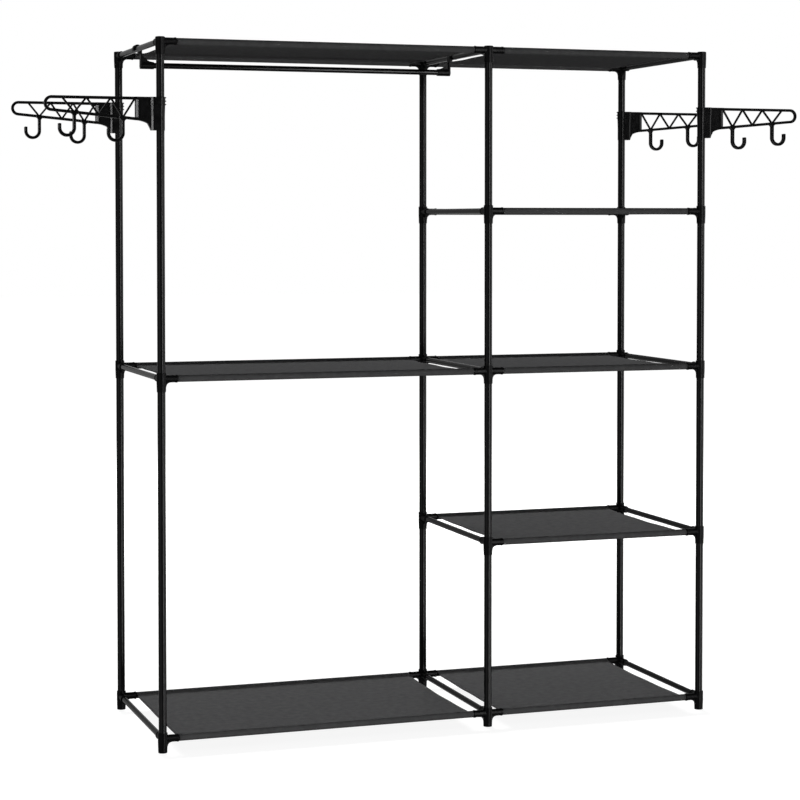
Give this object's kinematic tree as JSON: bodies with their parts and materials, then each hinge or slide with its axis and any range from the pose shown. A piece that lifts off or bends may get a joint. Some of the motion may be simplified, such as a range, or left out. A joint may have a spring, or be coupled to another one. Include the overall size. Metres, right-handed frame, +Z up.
{
  "type": "coat stand",
  "caption": "Free-standing coat stand: black tube frame with a wide hanging bay, a narrow bay of cloth shelves and swivelling hook arms at both ends.",
  "frame": {"origin": "on the floor, below the middle of the stand", "axes": "+X from the wide bay to the narrow bay, +Y from front to back, +Z up"},
  "size_m": [1.944, 0.5076, 1.6801],
  "materials": {
    "black_tube": "semi-gloss black powder coat on steel tube",
    "connector_plastic": "black moulded plastic, fine satin texture",
    "hook_plastic": "black moulded plastic, glossy",
    "shelf_cloth": "dark grey non-woven cloth, sewn sleeves"
  },
  "bodies": {
    "stand": {"connector_left_front_bottom": "connector_plastic", "connector_left_front_third": "connector_plastic", "connector_left_front_top": "connector_plastic", "connector_left_back_bottom": "connector_plastic", "connector_left_back_third": "connector_plastic", "connector_left_back_top": "connector_plastic", "connector_middle_front_bottom": "connector_plastic", "connector_middle_front_second": "connector_plastic", "connector_middle_front_third": "connector_plastic", "connector_middle_front_fourth": "connector_plastic", "connector_middle_front_top": "connector_plastic", "connector_middle_back_bottom": "connector_plastic", "connector_middle_back_second": "connector_plastic", "connector_middle_back_third": "connector_plastic", "connector_middle_back_fourth": "connector_plastic", "connector_middle_back_top": "connector_plastic", "connector_right_front_bottom": "connector_plastic", "connector_right_front_second": "connector_plastic", "connector_right_front_third": "connector_plastic", "connector_right_front_fourth": "connector_plastic", "connector_right_front_top": "connector_plastic", "connector_right_back_bottom": "connector_plastic", "connector_right_back_second": "connector_plastic", "connector_right_back_third": "connector_plastic", "connector_right_back_fourth": "connector_plastic", "connector_right_back_top": "connector_plastic", "side_rails_left": "black_tube", "upright_left_front": "black_tube", "upright_left_back": "black_tube", "side_rails_middle": "black_tube", "upright_middle_front": "black_tube", "upright_middle_back": "black_tube", "side_rails_right": "black_tube", "upright_right_front": "black_tube", "upright_right_back": "black_tube", "wide_rails_bottom": "black_tube", "wide_shelf_bottom": "shelf_cloth", "wide_rails_third": "black_tube", "wide_shelf_third": "shelf_cloth", "wide_rails_top": "black_tube", "wide_shelf_top": "shelf_cloth", "narrow_rails_bottom": "black_tube", "narrow_shelf_bottom": "shelf_cloth", "narrow_rails_second": "black_tube", "narrow_shelf_second": "shelf_cloth", "narrow_rails_third": "black_tube", "narrow_shelf_third": "shelf_cloth", "narrow_rails_fourth": "black_tube", "narrow_shelf_fourth": "shelf_cloth", "narrow_rails_top": "black_tube", "narrow_shelf_top": "shelf_cloth"},
    "rod": {"hanging_rod": "black_tube", "rod_bracket_left": "connector_plastic", "rod_bracket_right": "connector_plastic"},
    "arm_left_front": {"hook_arm_left_front": "hook_plastic"},
    "arm_left_back": {"hook_arm_left_back": "hook_plastic"},
    "arm_right_front": {"hook_arm_right_front": "hook_plastic"},
    "arm_right_back": {"hook_arm_right_back": "hook_plastic"}
  },
  "joints": [
    {"name": "arm_left_front_swivel", "type": "hinge", "parent": "stand", "child": "arm_left_front", "pos_m": [-0.7, -0.24, 1.5385], "axis": [0, 0, 1], "range_deg": [-55, 180]},
    {"name": "arm_left_back_swivel", "type": "hinge", "parent": "stand", "child": "arm_left_back", "pos_m": [-0.7, 0.24, 1.5505], "axis": [0, 0, 1], "range_deg": [-180, 55]},
    {"name": "arm_right_front_swivel", "type": "hinge", "parent": "stand", "child": "arm_right_front", "pos_m": [0.7, -0.24, 1.5385], "axis": [0, 0, 1], "range_deg": [-180, 55]},
    {"name": "arm_right_back_swivel", "type": "hinge", "parent": "stand", "child": "arm_right_back", "pos_m": [0.7, 0.24, 1.5505], "axis": [0, 0, 1], "range_deg": [-55, 180]},
    {"name": "hanging_rod_slide", "type": "slide", "parent": "stand", "child": "rod", "axis": [0, 1, 0], "range_m": [-0.207, 0.175]}
  ]
}
